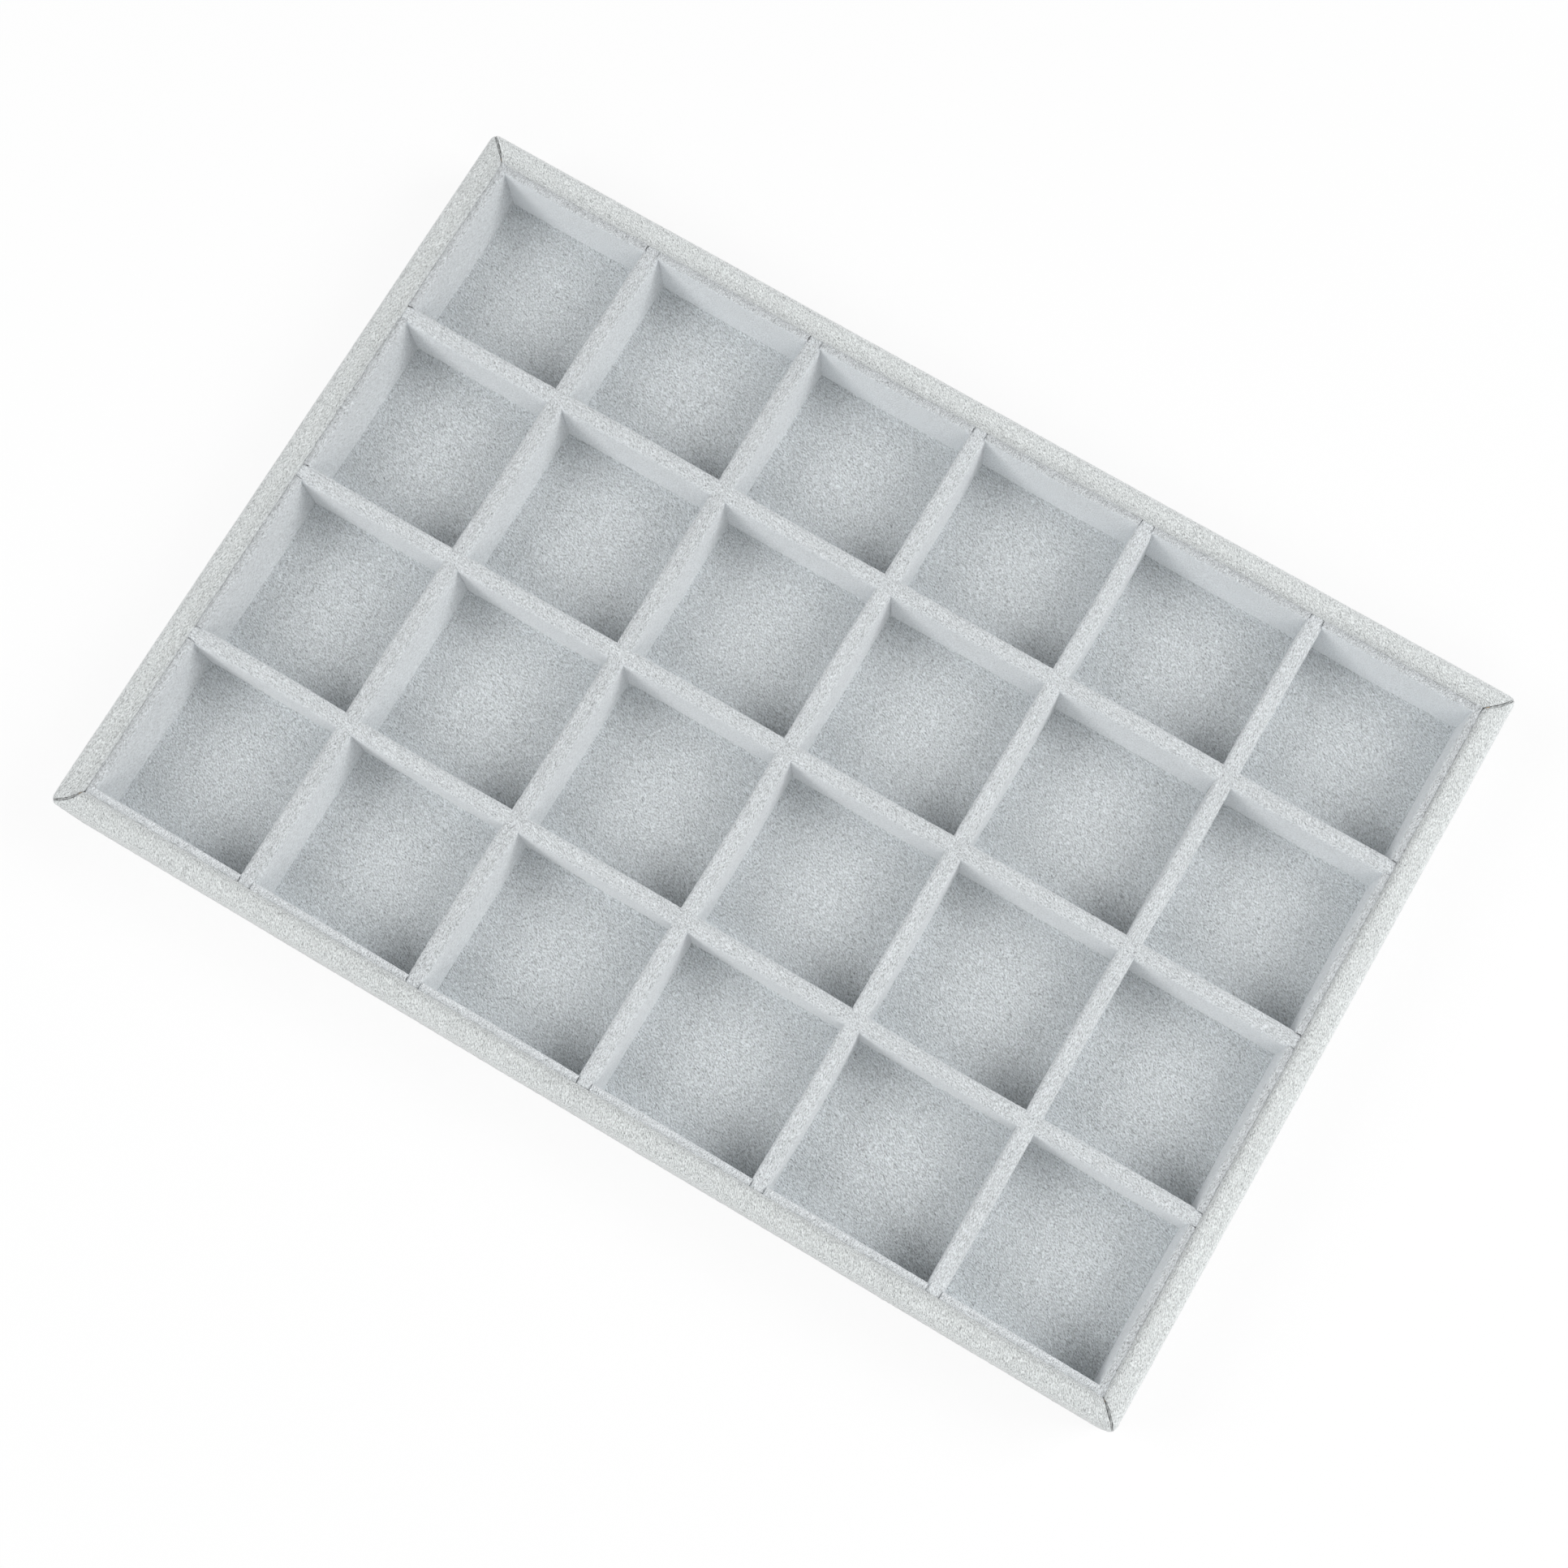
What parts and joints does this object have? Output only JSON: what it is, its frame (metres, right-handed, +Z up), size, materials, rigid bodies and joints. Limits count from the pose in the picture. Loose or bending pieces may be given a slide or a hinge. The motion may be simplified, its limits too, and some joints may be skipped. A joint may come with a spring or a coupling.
{
  "type": "jewelry tray",
  "caption": "Low rectangular velvet-covered jewelry tray with a mitred frame and a lift-out grid of half-lapped dividers that makes square open compartments.",
  "frame": {"origin": "middle of the underside, on the table", "axes": "+X along the tray's length, +Y towards its back, +Z up"},
  "size_m": [0.35, 0.24, 0.03],
  "materials": {
    "frame_velvet": "short curly pile, pale warm grey",
    "insert_velvet": "short curly pile, pale cool grey",
    "felt_lining": "thin pressed felt, grey",
    "frame_wood": "bare fine fibreboard",
    "grey_board": "bare grey board",
    "pin_steel": "bright steel pins"
  },
  "bodies": {
    "tray": {"rail_front": "frame_wood", "rail_back": "frame_wood", "rail_left": "frame_wood", "rail_right": "frame_wood", "base_board": "frame_wood", "rail_cover_front": "frame_velvet", "rail_cover_back": "frame_velvet", "rail_cover_left": "frame_velvet", "rail_cover_right": "frame_velvet", "liner_front_1": "insert_velvet", "liner_front_2": "insert_velvet", "liner_front_3": "insert_velvet", "liner_front_4": "insert_velvet", "liner_front_5": "insert_velvet", "liner_front_6": "insert_velvet", "liner_back_1": "insert_velvet", "liner_back_2": "insert_velvet", "liner_back_3": "insert_velvet", "liner_back_4": "insert_velvet", "liner_back_5": "insert_velvet", "liner_back_6": "insert_velvet", "liner_left_1": "insert_velvet", "liner_left_2": "insert_velvet", "liner_left_3": "insert_velvet", "liner_left_4": "insert_velvet", "liner_right_1": "insert_velvet", "liner_right_2": "insert_velvet", "liner_right_3": "insert_velvet", "liner_right_4": "insert_velvet", "floor_velvet": "insert_velvet", "liner_cards_front": "grey_board", "liner_cards_back": "grey_board", "liner_cards_left": "grey_board", "liner_cards_right": "grey_board", "floor_board": "grey_board", "base_infill": "grey_board", "underside_lining": "felt_lining", "base_pins": "pin_steel", "corner_pins": "pin_steel"},
    "divider_grid": {"long_divider_1": "grey_board", "long_divider_2": "grey_board", "long_divider_3": "grey_board", "long_divider_velvet_1": "insert_velvet", "long_divider_velvet_2": "insert_velvet", "long_divider_velvet_3": "insert_velvet", "cross_divider_1": "grey_board", "cross_divider_2": "grey_board", "cross_divider_3": "grey_board", "cross_divider_4": "grey_board", "cross_divider_5": "grey_board", "cross_divider_velvet_1": "insert_velvet", "cross_divider_velvet_2": "insert_velvet", "cross_divider_velvet_3": "insert_velvet", "cross_divider_velvet_4": "insert_velvet", "cross_divider_velvet_5": "insert_velvet"}
  },
  "joints": [
    {"name": "grid_lift", "type": "slide", "parent": "tray", "child": "divider_grid", "axis": [0, 0, 1], "range_m": [0, 0.03]}
  ]
}
